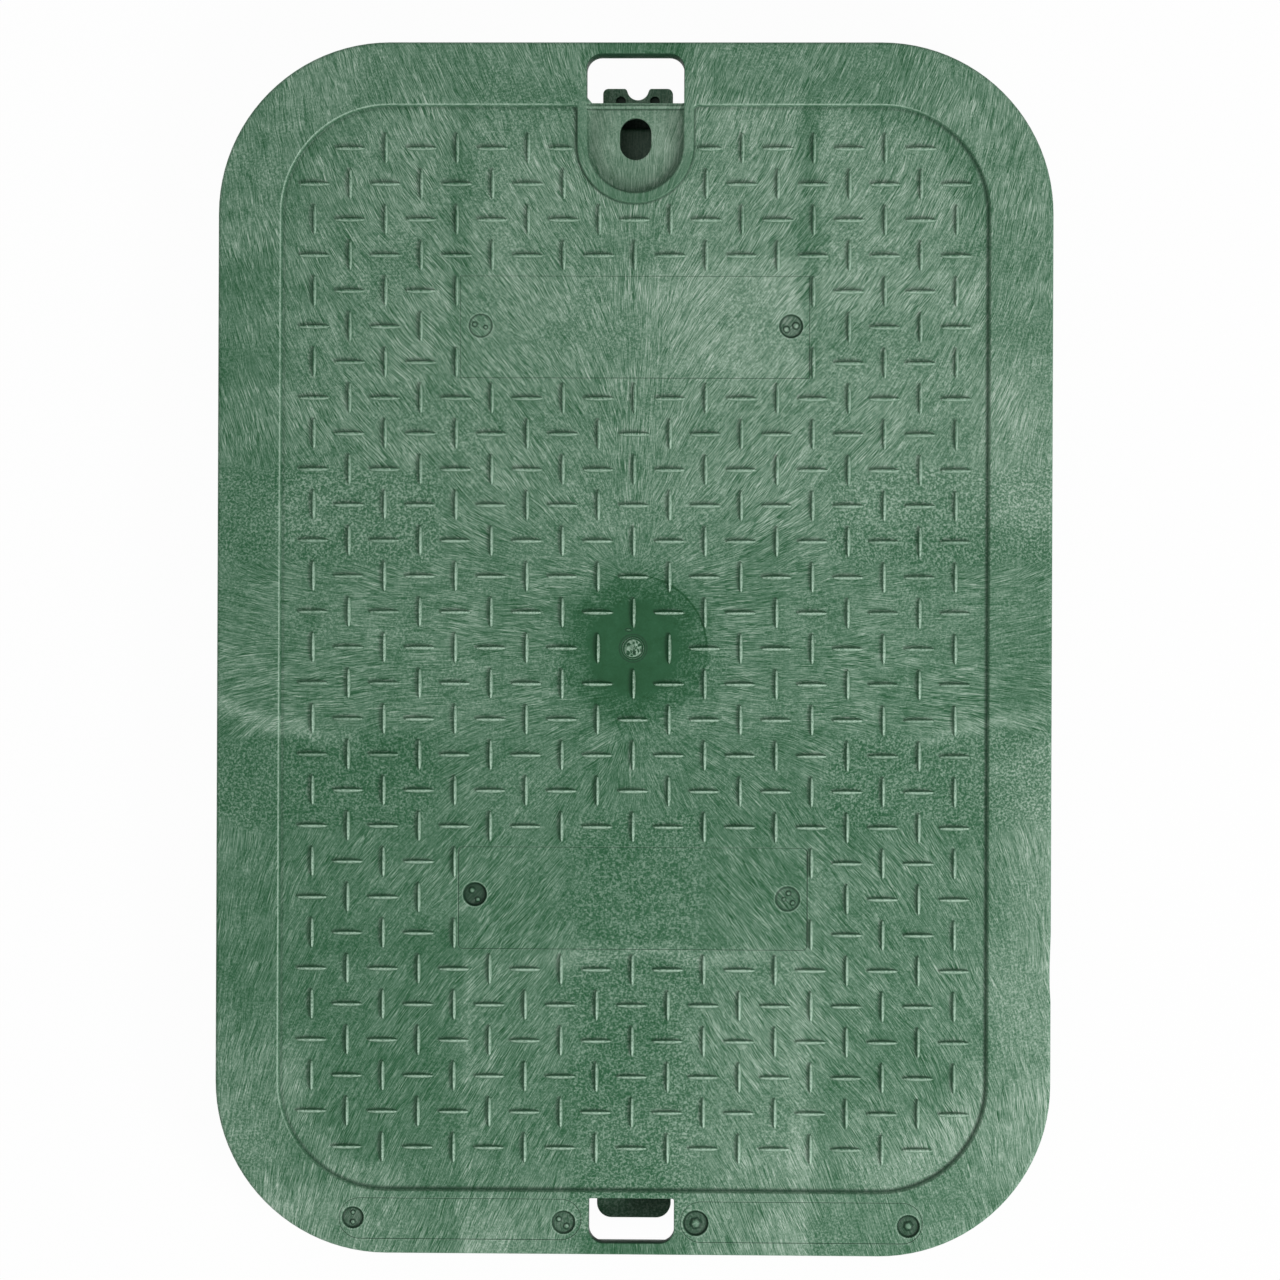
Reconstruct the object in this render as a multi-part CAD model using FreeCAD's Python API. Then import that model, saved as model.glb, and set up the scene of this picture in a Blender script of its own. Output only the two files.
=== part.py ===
import FreeCAD, Part
import math
import os

from FreeCAD import Vector

# Cable pit cover: one moulded piece. Sizes in millimetres, +Z up.
# The origin is at the middle of the plane that the cover rests on. The tread faces up,
# and the lift opening is at the +Y end.

# Overall size
cover_length = 431.0
cover_width = 297.0
cover_height = 32.0
corner_radius = 61.0
top_edge_radius = 1.2

# Flange and its skirt
skirt_depth = 14.0
skirt_thickness = 4.4
flange_thickness = 5.2

# Sunk tread panel
panel_inset = 22.1
panel_depth = 1.8
panel_wall_run = 1.4
panel_thickness = 4.8

# Locating ring under the panel's edge
ring_inset = 21.6
ring_thickness = 4.0
ring_draft = 0.5

# Ribs inside the ring
rib_thickness = 3.4
rib_draft = 0.5
rib_foot_clearance = 3.0
long_rib_spacing = 59.0
cross_rib_count = 8

# Tread bars: upright and level bars take turns on a square grid
tread_pitch = 12.7
bar_length = 11.2
bar_width = 1.9
bar_height = 1.7
bar_crest_share = 0.45
bar_edge_margin = 2.0

# Smooth windows that interrupt the tread
window_width = 126.0
window_height = 36.8
window_bar_lap = 1.0
upper_window_y = 114.3
lower_window_y = -88.9
gate_clear_radius = 4.0

# U-shaped rim and sunk pad around the bolt slot
rim_outer_radius = 20.5
rim_width = 3.2
rim_centre_from_end = 36.4
rim_joint_radius = 1.5
rim_bar_reach = 0.1
pad_depth = 2.2
pad_wall_run = 1.4
lip_width = 2.1
lip_height = 0.8

# Bolt slot and the closed cell below it
slot_width = 11.2
slot_length = 15.0
slot_from_rim_centre = 2.1
cell_wall = 2.6
cell_side_gap = 2.0
cell_floor_height = 5.0
cell_ledge_height = 11.0
cell_ledge_from_slot_end = 2.4
cell_ledge_chamfer = 1.6

# Lift opening, between the pad and the skirt
lift_opening_width = 34.7
lift_corner_radius = 5.3
lift_chamfer_width = 1.1
lift_chamfer_height = 2.1

# Far opening, at the other end
far_opening_width = 30.3
far_corner_radius = 5.2
far_sill_width = 1.6

# Lobed latch below the lift opening
latch_depth = 22.7
latch_thickness = 4.0
latch_width = 25.0
latch_reach = 7.0
latch_corner_radius = 1.8
latch_notch_radius = 3.7
latch_notch_depth = 4.1
latch_pocket_radius = 1.8
latch_pocket_depth = 3.0
latch_pocket_spacing = 12.2
latch_pocket_from_tip = 4.4

# Tongue below the far opening
tongue_width = 26.4
tongue_reach = 10.4
tongue_thickness = 4.5
tongue_corner_radius = 5.2
tongue_lead_in = 1.5

# Levels worked out from the sizes above
top_level = cover_height
skirt_foot_level = top_level - skirt_depth
flange_underside_level = top_level - flange_thickness
panel_level = top_level - panel_depth
panel_underside_level = panel_level - panel_thickness
pad_level = top_level - pad_depth
latch_top_level = top_level - latch_depth

# Places worked out from the sizes above
half_length = cover_length / 2
ring_face_y = half_length - ring_inset
skirt_inner_y = half_length - skirt_thickness
rim_centre_y = half_length - rim_centre_from_end
slot_centre_y = rim_centre_y + slot_from_rim_centre

# How far a cut reaches past the face that it opens
run_past = 1.0


def rounded_outline(inset, level):
    """The cover's rounded outline, moved in by inset, as a closed wire at one level."""
    x = cover_width / 2 - inset
    y = cover_length / 2 - inset
    r = max(corner_radius - inset, 0.5)
    diagonal = r * (1 - math.sqrt(0.5))
    edges = []
    for turn in range(4):
        across, along = (x, y) if turn % 2 == 0 else (y, x)
        start = Vector(across, r - along, 0)
        end = Vector(across, along - r, 0)
        middle = Vector(across - diagonal, along - diagonal, 0)
        next_start = Vector(across - r, along, 0)
        pieces = [
            Part.makeLine(start, end),
            Part.Arc(end, middle, next_start).toShape(),
        ]
        for piece in pieces:
            piece.rotate(Vector(0, 0, 0), Vector(0, 0, 1), 90 * turn)
            edges.append(piece)
    wire = Part.Wire(Part.__sortEdges__(edges))
    wire.translate(Vector(0, 0, level))
    return wire


def rounded_block(inset, bottom, top):
    """A straight-sided block with the cover's rounded outline."""
    face = Part.Face(rounded_outline(inset, bottom))
    return face.extrude(Vector(0, 0, top - bottom))


def tapered_block(bottom_inset, bottom, top_inset, top):
    """A block whose sides slope between two rounded outlines."""
    wires = [rounded_outline(bottom_inset, bottom), rounded_outline(top_inset, top)]
    return Part.makeLoft(wires, True, True)


def box_between(low, high):
    """A box from its low corner to its high corner."""
    size = [high[k] - low[k] for k in range(3)]
    return Part.makeBox(size[0], size[1], size[2], Vector(*low))


def upright_edges(solid, picked=lambda point: True):
    """The straight vertical edges of a solid whose middle point passes the test."""
    found = []
    for edge in solid.Edges:
        ends = [vertex.Point for vertex in edge.Vertexes]
        if len(ends) != 2:
            continue
        run = ends[1] - ends[0]
        if abs(run.x) < 1e-6 and abs(run.y) < 1e-6 and picked((ends[0] + ends[1]) * 0.5):
            found.append(edge)
    return found


def u_block(radius, top_radius, bottom, top, end_y):
    """A U-shaped block, round towards the cover's middle and open to the +Y side."""
    wires = []
    for r, level in ((radius, bottom), (top_radius, top)):
        left = Vector(-r, rim_centre_y, level)
        right = Vector(r, rim_centre_y, level)
        bottom_point = Vector(0, rim_centre_y - r, level)
        far_left = Vector(-r, end_y, level)
        far_right = Vector(r, end_y, level)
        wires.append(Part.Wire([
            Part.Arc(left, bottom_point, right).toShape(),
            Part.makeLine(right, far_right),
            Part.makeLine(far_right, far_left),
            Part.makeLine(far_left, left),
        ]))
    return Part.makeLoft(wires, True, True)


def make_plate_and_skirt():
    """The flange plate with its skirt and rounded top edge."""
    block = rounded_block(0, skirt_foot_level, top_level)
    top_edges = [e for e in block.Edges if all(abs(v.Z - top_level) < 1e-6 for v in e.Vertexes)]
    block = block.makeFillet(top_edge_radius, top_edges)
    hollow = rounded_block(skirt_thickness, skirt_foot_level - run_past, flange_underside_level)
    return block.cut(hollow)


def make_ribs():
    """The drafted ribs that stiffen the panel, lengthways and across."""
    foot = rib_foot_clearance
    root_half = rib_thickness / 2
    foot_half = root_half - rib_draft
    reach_x = cover_width / 2 - ring_inset
    reach_y = cover_length / 2 - ring_inset

    def wall(reach):
        """One rib across the cover, centred on the Y axis and running along X."""
        section = Part.makePolygon([
            Vector(-reach, -foot_half, foot),
            Vector(-reach, foot_half, foot),
            Vector(-reach, root_half, panel_underside_level + run_past),
            Vector(-reach, -root_half, panel_underside_level + run_past),
            Vector(-reach, -foot_half, foot),
        ])
        return Part.Face(section).extrude(Vector(2 * reach, 0, 0))

    ribs = []
    for place in (-1, 0, 1):
        rib = wall(reach_y)
        rib.rotate(Vector(0, 0, 0), Vector(0, 0, 1), 90)
        rib.translate(Vector(place * long_rib_spacing, 0, 0))
        ribs.append(rib)
    inside_length = 2 * (reach_y - ring_thickness)
    for k in range(cross_rib_count):
        rib = wall(reach_x)
        y = inside_length * ((k + 1) / (cross_rib_count + 1) - 0.5)
        rib.translate(Vector(0, y, 0))
        ribs.append(rib)
    return ribs


def cell_block():
    """The solid outside of the closed cell that hangs below the bolt slot."""
    half = slot_width / 2 + cell_side_gap + cell_wall
    near = slot_centre_y - slot_length / 2 - cell_side_gap - cell_wall
    low = (-half, near, cell_floor_height - cell_wall)
    high = (half, ring_face_y - ring_draft, panel_underside_level + run_past)
    return box_between(low, high)


def cell_hollow():
    """The space inside the cell, with a chamfered ledge that leaves a deeper end."""
    half = slot_width / 2 + cell_side_gap
    near = slot_centre_y - slot_length / 2 - cell_side_gap
    far = ring_face_y - ring_thickness
    ledge_y = slot_centre_y + slot_length / 2 - cell_ledge_from_slot_end
    floor = cell_floor_height
    ledge = floor + cell_ledge_height
    ceiling = panel_underside_level
    section = Part.makePolygon([
        Vector(-half, near, ledge),
        Vector(-half, ledge_y - cell_ledge_chamfer, ledge),
        Vector(-half, ledge_y, ledge - cell_ledge_chamfer),
        Vector(-half, ledge_y, floor),
        Vector(-half, far, floor),
        Vector(-half, far, ceiling),
        Vector(-half, near, ceiling),
        Vector(-half, near, ledge),
    ])
    return Part.Face(section).extrude(Vector(2 * half, 0, 0))


def bolt_slot():
    """The round-ended slot through the pad, down into the cell."""
    r = slot_width / 2
    straight = slot_length / 2 - r
    bottom = panel_underside_level - run_past
    near = Vector(0, slot_centre_y - straight, bottom)
    far = Vector(0, slot_centre_y + straight, bottom)
    outline = Part.Wire([
        Part.Arc(near + Vector(-r, 0, 0), near + Vector(0, -r, 0), near + Vector(r, 0, 0)).toShape(),
        Part.makeLine(near + Vector(r, 0, 0), far + Vector(r, 0, 0)),
        Part.Arc(far + Vector(r, 0, 0), far + Vector(0, r, 0), far + Vector(-r, 0, 0)).toShape(),
        Part.makeLine(far + Vector(-r, 0, 0), near + Vector(-r, 0, 0)),
    ])
    return Part.Face(outline).extrude(Vector(0, 0, top_level - bottom + run_past))


def make_ring():
    """The locating ring, ribs and cell: a drafted block with its bays hollowed out."""
    block = tapered_block(ring_inset + ring_draft, 0, ring_inset, flange_underside_level)
    inside = tapered_block(
        ring_inset + ring_thickness - ring_draft, 0,
        ring_inset + ring_thickness, panel_underside_level,
    )
    bays = inside.cut(make_ribs() + [cell_block()])
    return block.cut([bays, cell_hollow()])


def panel_pocket():
    """The space sunk for the tread panel, which stops round the U-shaped rim."""
    pocket = tapered_block(
        panel_inset + panel_wall_run, panel_level,
        panel_inset, top_level,
    )
    rim = u_block(rim_outer_radius, rim_outer_radius, panel_level - run_past,
                  top_level + run_past, half_length)
    pocket = pocket.cut(rim)
    joint_y = half_length - panel_inset
    joints = []
    for edge in pocket.Edges:
        ends = [vertex.Point for vertex in edge.Vertexes]
        if len(ends) != 2:
            continue
        beside_rim = all(abs(abs(p.x) - rim_outer_radius) < 1e-4 for p in ends)
        at_panel_line = all(p.y > joint_y - panel_wall_run - 1e-4 for p in ends)
        if beside_rim and at_panel_line and abs(ends[0].z - ends[1].z) > panel_depth / 2:
            joints.append(edge)
    return pocket.makeFillet(rim_joint_radius, joints)


def pad_pocket():
    """The sunk pad inside the rim, with the lip along the edge of the lift opening."""
    pad_radius = rim_outer_radius - rim_width
    pocket = u_block(pad_radius - pad_wall_run, pad_radius, pad_level, top_level, ring_face_y)
    lip = box_between(
        (-pad_radius, ring_face_y - lip_width, pad_level - run_past),
        (pad_radius, ring_face_y + run_past, pad_level + lip_height),
    )
    return pocket.cut(lip)


def lift_opening():
    """The hand opening between the pad and the skirt."""
    half = lift_opening_width / 2
    block = box_between(
        (-half, ring_face_y, flange_underside_level - run_past),
        (half, skirt_inner_y, top_level + run_past),
    )
    corners = upright_edges(block, lambda point: point.y > ring_face_y + run_past)
    block = block.makeFillet(lift_corner_radius, corners)
    level = flange_underside_level - 2 * run_past
    corner = Part.Face(Part.makePolygon([
        Vector(-half, ring_face_y, level),
        Vector(lift_chamfer_width - half, ring_face_y, level),
        Vector(-half, ring_face_y + lift_chamfer_height, level),
        Vector(-half, ring_face_y, level),
    ]))
    return block.cut(corner.extrude(Vector(0, 0, flange_thickness + 4 * run_past)))


def far_opening():
    """The opening above the tongue."""
    half = far_opening_width / 2
    block = box_between(
        (-half, -skirt_inner_y, flange_underside_level - run_past),
        (half, -ring_face_y - far_sill_width, top_level + run_past),
    )
    corners = upright_edges(block, lambda point: point.y < -skirt_inner_y + run_past)
    return block.makeFillet(far_corner_radius, corners)


def make_latch():
    """The lobed latch: a plate with rounded corners, a round notch and two blind pockets."""
    half = latch_width / 2
    bottom = latch_top_level - latch_thickness
    tip_y = ring_face_y + latch_reach
    plate = box_between(
        (-half, ring_face_y - ring_thickness / 2, bottom),
        (half, tip_y, latch_top_level),
    )
    tip_corners = upright_edges(plate, lambda point: point.y > ring_face_y)
    plate = plate.makeFillet(latch_corner_radius, tip_corners)
    notch_y = tip_y - latch_notch_depth + latch_notch_radius
    notch = Part.makeCylinder(latch_notch_radius, latch_thickness + 2 * run_past,
                              Vector(0, notch_y, bottom - run_past))
    mouth = box_between(
        (-latch_notch_radius, notch_y, bottom - run_past),
        (latch_notch_radius, tip_y + run_past, latch_top_level + run_past),
    )
    cuts = [notch, mouth]
    for side in (-1, 1):
        place = Vector(side * latch_pocket_spacing / 2, tip_y - latch_pocket_from_tip,
                       latch_top_level - latch_pocket_depth)
        cuts.append(Part.makeCylinder(latch_pocket_radius, latch_pocket_depth + run_past, place))
    return plate.cut(cuts)


def make_tongue():
    """The tongue that hooks under the pit's rim, with a lead-in along its lower edge."""
    half = tongue_width / 2
    bottom = latch_top_level - tongue_thickness
    tip_y = -ring_face_y - tongue_reach
    root_y = -ring_face_y + ring_thickness / 2
    section = Part.makePolygon([
        Vector(-half, root_y, bottom),
        Vector(-half, tip_y + tongue_lead_in, bottom),
        Vector(-half, tip_y, bottom + tongue_lead_in),
        Vector(-half, tip_y, latch_top_level),
        Vector(-half, root_y, latch_top_level),
        Vector(-half, root_y, bottom),
    ])
    block = Part.Face(section).extrude(Vector(2 * half, 0, 0))
    mask = box_between(
        (-half, tip_y, bottom - run_past),
        (half, root_y + run_past, latch_top_level + run_past),
    )
    corners = upright_edges(mask, lambda point: point.y < tip_y + run_past)
    return block.common(mask.makeFillet(tongue_corner_radius, corners))


def inside_panel(x, y, half_x, half_y):
    """Whether a bar, with its margin, lies inside the panel's rounded outline."""
    inset = panel_inset + panel_wall_run + bar_edge_margin
    limit_x = cover_width / 2 - inset
    limit_y = cover_length / 2 - inset
    r = corner_radius - inset
    end_x = abs(x) + half_x
    end_y = abs(y) + half_y
    if end_x > limit_x or end_y > limit_y:
        return False
    past_x = end_x - (limit_x - r)
    past_y = end_y - (limit_y - r)
    return past_x <= 0 or past_y <= 0 or math.hypot(past_x, past_y) <= r


def nearest_to(centre_y, x, y, half_x, half_y):
    """The distance from a point on the cover's centre line to a bar's outline box."""
    return math.hypot(max(abs(x) - half_x, 0), max(abs(y - centre_y) - half_y, 0))


def in_a_window(x, y, half_x, half_y):
    """Whether a bar reaches into one of the smooth windows."""
    reach_x = window_width / 2 - window_bar_lap
    reach_y = window_height / 2 - window_bar_lap
    return any(
        abs(x) - half_x < reach_x and abs(y - centre_y) - half_y < reach_y
        for centre_y in (upper_window_y, lower_window_y)
    )


def tread_places():
    """Each tread bar as its place, whether it lies along X, and whether it meets the rim."""
    columns = int(cover_width / 2 / tread_pitch)
    rows = int(cover_length / 2 / tread_pitch)
    places = []
    for i in range(-columns, columns + 1):
        for j in range(-rows, rows + 1):
            level_bar = (i + j) % 2 == 0
            x = i * tread_pitch
            y = j * tread_pitch
            half_x = (bar_length if level_bar else bar_width) / 2
            half_y = (bar_width if level_bar else bar_length) / 2
            box = (x, y, half_x, half_y)
            rim_gap = nearest_to(max(rim_centre_y, y), *box) - rim_outer_radius
            if not inside_panel(*box) or in_a_window(*box):
                continue
            if nearest_to(0, *box) < gate_clear_radius or rim_gap < -rim_width / 2:
                continue
            places.append((x, y, level_bar, rim_gap < rim_bar_reach))
    return places


def bar_faces(x, y, level_bar):
    """The sloped faces of one tread bar, and the closed outline of its slender foot."""
    tip = bar_length / 2
    half = bar_width / 2
    crest = tip * bar_crest_share

    def place(along, across, height):
        """A point of the bar, put where the bar lies."""
        step_x, step_y = (along, across) if level_bar else (-across, along)
        return Vector(x + step_x, y + step_y, panel_level + height)

    tips = [place(tip, 0, 0), place(-tip, 0, 0)]
    crests = [place(crest, 0, bar_height), place(-crest, 0, bar_height)]
    sides = [place(0, half, 0), place(0, -half, 0)]
    faces = []
    for side in sides:
        faces.append((side, crests[0], crests[1]))
        for tip_point, crest_point in zip(tips, crests):
            faces.append((side, tip_point, crest_point))
    outline = Part.makePolygon([tips[0], sides[1], tips[1], sides[0], tips[0]])
    return [Part.Face(Part.makePolygon(ring + ring[:1])) for ring in faces], outline


def bar_solid(x, y, level_bar):
    """One tread bar closed below, for a bar that runs into the rim."""
    faces, outline = bar_faces(x, y, level_bar)
    return Part.makeSolid(Part.makeShell(faces + [Part.Face(outline)]))


def add_tread(body, places):
    """The body with a tread bar raised from its panel at each place."""
    panel = max(
        (face for face in body.Faces if abs(face.BoundBox.ZMin - panel_level) < 1e-6
         and abs(face.BoundBox.ZMax - panel_level) < 1e-6),
        key=lambda face: face.Area,
    )
    others = [face for face in body.Faces if not face.isSame(panel)]
    bars = []
    holes = []
    for place in places:
        faces, outline = bar_faces(*place)
        bars += faces
        holes.append(outline)
    panel = panel.copy()
    panel.cutHoles(holes)
    panel.validate()
    shell = Part.makeShell(others + [panel] + bars)
    shell.sewShape()
    return Part.makeSolid(shell)


def make_cover():
    """The whole cover as one solid."""
    body = make_plate_and_skirt().fuse([make_ring(), make_latch(), make_tongue()])
    body = body.cut([panel_pocket(), pad_pocket(), bolt_slot(), lift_opening(), far_opening()])
    places = tread_places()
    rim_bars = [bar_solid(x, y, level_bar) for x, y, level_bar, at_rim in places if at_rim]
    if rim_bars:
        body = body.fuse(rim_bars)
    free_bars = [(x, y, level_bar) for x, y, level_bar, at_rim in places if not at_rim]
    return add_tread(body.removeSplitter(), free_bars)


def export(shape, name):
    """Write one sub-part to its own STEP file."""
    os.makedirs("parts", exist_ok=True)
    shape.exportStep("parts/" + name + ".step")
    print(name, "valid", shape.isValid(), "solids", len(shape.Solids),
          "volume", round(shape.Volume), "tread bars", len(tread_places()))


export(make_cover(), "cover")
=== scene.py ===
import math
import random

import bpy
import numpy as np
from mathutils import Matrix, Vector
from mathutils.geometry import delaunay_2d_cdt


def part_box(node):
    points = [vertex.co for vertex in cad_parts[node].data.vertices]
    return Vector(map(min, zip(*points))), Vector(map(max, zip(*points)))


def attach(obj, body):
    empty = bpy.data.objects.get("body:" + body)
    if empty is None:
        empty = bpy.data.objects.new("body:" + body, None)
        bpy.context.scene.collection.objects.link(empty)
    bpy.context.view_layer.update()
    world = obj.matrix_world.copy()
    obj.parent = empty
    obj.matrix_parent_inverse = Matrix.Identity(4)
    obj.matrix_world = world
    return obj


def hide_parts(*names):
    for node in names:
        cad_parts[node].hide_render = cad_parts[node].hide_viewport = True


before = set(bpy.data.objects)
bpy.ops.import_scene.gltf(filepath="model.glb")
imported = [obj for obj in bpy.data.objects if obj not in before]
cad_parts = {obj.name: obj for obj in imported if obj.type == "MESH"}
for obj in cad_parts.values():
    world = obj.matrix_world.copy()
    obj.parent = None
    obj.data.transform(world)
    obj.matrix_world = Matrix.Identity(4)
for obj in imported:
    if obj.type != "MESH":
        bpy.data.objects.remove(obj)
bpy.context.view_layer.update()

# The cover's overall size, from the frame, in millimetres
MM = 0.001
low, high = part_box("cover")
HALF_WIDTH = high[0] / MM
HALF_LENGTH = high[1] / MM
TOP = high[2] / MM

# Outline and flange
CORNER_RADIUS = 61.0
EDGE_RADIUS = 1.2
SKIRT_FOOT = TOP - 14.0
SKIRT_THICKNESS = 4.4
CEILING = TOP - 5.2

# Sunk panel
PANEL_INSET = 22.1
PANEL = TOP - 1.8
PANEL_UNDERSIDE = PANEL - 4.8
# Loops of the panel's wall: run, level and mark; the pale mark at its top edge is painted highlight and the dark marks
# at its foot are painted shade
PANEL_PROFILE = (
    (-0.35, TOP, 0.0), (-0.1, TOP - 0.05, -0.65), (0.12, TOP - 0.24, -0.65), (0.4, TOP - 0.8, 0.1),
    (0.85, PANEL + 0.3, 0.45), (1.1, PANEL + 0.08, 0.5), (1.4, PANEL, 0.4), (2.1, PANEL, 0.0),
)
U_RUN_SHARE = 0.55
WALL_LIGHT = (1.0, -1.0)

# Locating ring and ribs
RING_INSET = 21.65
RING_THICKNESS = 4.0
RING_DRAFT = 0.5
RIB_FOOT = 3.0
RIB_FOOT_HALF = 1.2
LONG_RIB_SPACING = 59.0
CROSS_RIBS = 8
BAY_PROFILE = ((0.0, RIB_FOOT), (0.25, RIB_FOOT + 0.35), (0.55, PANEL_UNDERSIDE - 1.4),
               (0.95, PANEL_UNDERSIDE - 0.4), (1.9, PANEL_UNDERSIDE))
BAY_CORNER = 2.2

# Tread bars
PITCH = 12.7
BAR_HALF_LENGTH = 5.6
BAR_RUN_OUT = 0.25
BAR_HALF_WIDTH = 0.95
BAR_HEIGHT = 1.7
BAR_MARGIN = 2.0
# Loops up a bar's flanks: share of the width, of the height and of the length, then the painted highlight on the side
# towards the light and the painted shade on the side away from it
BAR_FLANKS = ((0.9, 0.15, 0.955, 0.0, 0.2), (0.78, 0.55, 0.93, -0.5, 0.5), (0.4, 0.93, 0.9, -0.65, 0.04))
# Pale mark on a worn crest, wear with painted highlight, and painted highlight at a bar's tips
BAR_CREST = -0.93
BAR_TIP = -0.5
# Mark on the crests of the unworn bars, and the share of wear, painted highlight and painted shade left on level bars
# straight beside the gate
FRESH_CREST = 0.05
SIDE_MARK_SHARE = 0.6
# Share of the painted shade on the side away from the light, on an unworn bar and on a bar with full wear
PAINTED_SHADE_SHARES = (1.15, 0.7)

# Smooth windows with a fine parting line round them: middle, corner radius, strength of the side lines
WINDOWS = ((114.3, 0.0, 1.0), (-88.9, 2.0, 1.4))
WINDOW_HALF_WIDTH = 62.45
WINDOW_HALF_HEIGHT = 18.4
PARTING_STEP = 0.1
# Loops of a parting line: inset, drop and mark; painted highlight on the ridge beside it and painted shade in its
# groove
PARTING_PROFILE = (
    (-0.08, 0.0, 0.0), (0.06, -0.03, -0.3), (0.16, 0.06, 0.3), (0.3, 0.16, 0.75), (0.48, PARTING_STEP, 0.0),
)

# U-shaped rim, pad, lip, slot and openings
RIM_RADIUS = 20.5
PAD_RADIUS = 17.3
RIM_CENTRE = HALF_LENGTH - 36.4
JOINT_RADIUS = 1.5
PAD = TOP - 2.2
# Loops of the pad's dished wall: inset, level and mark; the dark marks along the wall are painted shade
PAD_PROFILE = (
    (0.0, TOP - 0.14, 0.1), (0.25, TOP - 0.6, 0.4), (0.55, TOP - 1.25, 0.5), (1.0, TOP - 1.7, 0.42),
    (1.8, TOP - 2.0, 0.38), (3.2, PAD, 0.25), (6.0, PAD, 0.0),
)
LIP = PAD + 0.8
LIP_WIDTH = 2.1
RING_FACE = HALF_LENGTH - 21.6
OPENING_FAR = HALF_LENGTH - 4.15
LIFT_DRAFT = 1.2
FAR_DRAFT = 0.5
LIFT_CORNER = 5.3
LIFT_BEVEL = (1.1, 2.1)
SLOT_RADIUS = 5.6
SLOT_CENTRE = RIM_CENTRE + 2.1
SLOT_STRAIGHT = 1.9
FAR_HALF_WIDTH = 15.15
FAR_CORNER = 5.2
FAR_SILL = 1.6

# Bolt cell
CELL_GAP = 2.0
CELL_WALL = 2.6
CELL_FLOOR = 5.0
CELL_LEDGE = CELL_FLOOR + 11.0
CELL_LEDGE_Y = SLOT_CENTRE + 5.1
CELL_BEVEL = 1.6

# Latch and tongue
LATCH_TOP = TOP - 22.7
LATCH_THICKNESS = 4.0
LATCH_HALF_WIDTH = 12.5
LATCH_REACH = 7.0
TONGUE_HALF_WIDTH = 13.2
TONGUE_REACH = 10.4
TONGUE_THICKNESS = 4.5

# Values of the point attribute that tells the material where to paint: above nought painted shade, below nought pale
# wear, whitening and painted highlight
PLAIN, PAINTED_SHADE_MARK, WEAR_AND_HIGHLIGHT_MARK, WHITENED = 0.0, 1.0, -0.45, -0.75
# Painted shade inside the bolt cell and on the latch and the tongue, which lie in shade under the lid
CELL_SHADE = 0.6
LATCH_SHADE = 0.12
TONGUE_SHADE = 0.6


def arc(centre, radius, start, end, steps):
    """Points along an arc, angles in degrees, both ends included."""
    points = []
    for k in range(steps + 1):
        a = math.radians(start + (end - start) * k / steps)
        points.append((centre[0] + radius * math.cos(a), centre[1] + radius * math.sin(a)))
    return points


def circle(centre, radius, steps, turn=0.0):
    """A closed circle of points."""
    return arc(centre, radius, turn, turn + 360, steps)[:-1]


def rounded(corners, radii, steps=16):
    """A closed outline through corners, each turned on an arc of its own radius."""
    outline = []
    for k, corner in enumerate(corners):
        here = Vector(corner)
        radius = radii[k] if isinstance(radii, (list, tuple)) else radii
        if radius <= 0:
            outline.append(tuple(here))
            continue
        into = (Vector(corners[k - 1]) - here).normalized()
        out = (Vector(corners[(k + 1) % len(corners)]) - here).normalized()
        half_turn = into.angle(out) / 2
        centre = here + (into + out).normalized() * radius / math.sin(half_turn)
        reach = radius / math.tan(half_turn)
        first = here + into * reach - centre
        last = here + out * reach - centre
        start = math.degrees(math.atan2(first.y, first.x))
        sweep = (math.degrees(math.atan2(last.y, last.x)) - start + 180) % 360 - 180
        outline += arc(centre, radius, start, start + sweep, steps)
    return outline


def spaced(outline, longest=14.0, closed=True):
    """The same outline with points added so that no run is longer than asked."""
    points = []
    pairs = list(zip(outline, outline[1:] + outline[:1])) if closed else list(zip(outline, outline[1:]))
    for a, b in pairs:
        count = max(1, math.ceil(math.dist(a, b) / longest - 1e-6))
        for k in range(count):
            t = k / count
            points.append((a[0] + (b[0] - a[0]) * t, a[1] + (b[1] - a[1]) * t))
    if not closed:
        points.append(outline[-1])
    return points


def inset_corners(corners, inset):
    """The corners of an outline of level and upright runs, counter-clockwise, moved inwards."""
    moved = []
    for k, (x, y) in enumerate(corners):
        shift = [0.0, 0.0]
        for a, b in ((corners[k - 1], (x, y)), ((x, y), corners[(k + 1) % len(corners)])):
            if abs(b[0] - a[0]) > abs(b[1] - a[1]):
                shift[1] = inset if b[0] > a[0] else -inset
            else:
                shift[0] = -inset if b[1] > a[1] else inset
        moved.append((x + shift[0], y + shift[1]))
    return moved


def shrunk(outline, inset):
    """Any closed counter-clockwise outline, each point moved inwards by about inset."""
    moved = []
    for k, point in enumerate(outline):
        along = (Vector(outline[(k + 1) % len(outline)]) - Vector(outline[k - 1])).normalized()
        moved.append((point[0] - along.y * inset, point[1] + along.x * inset))
    return moved


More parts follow.
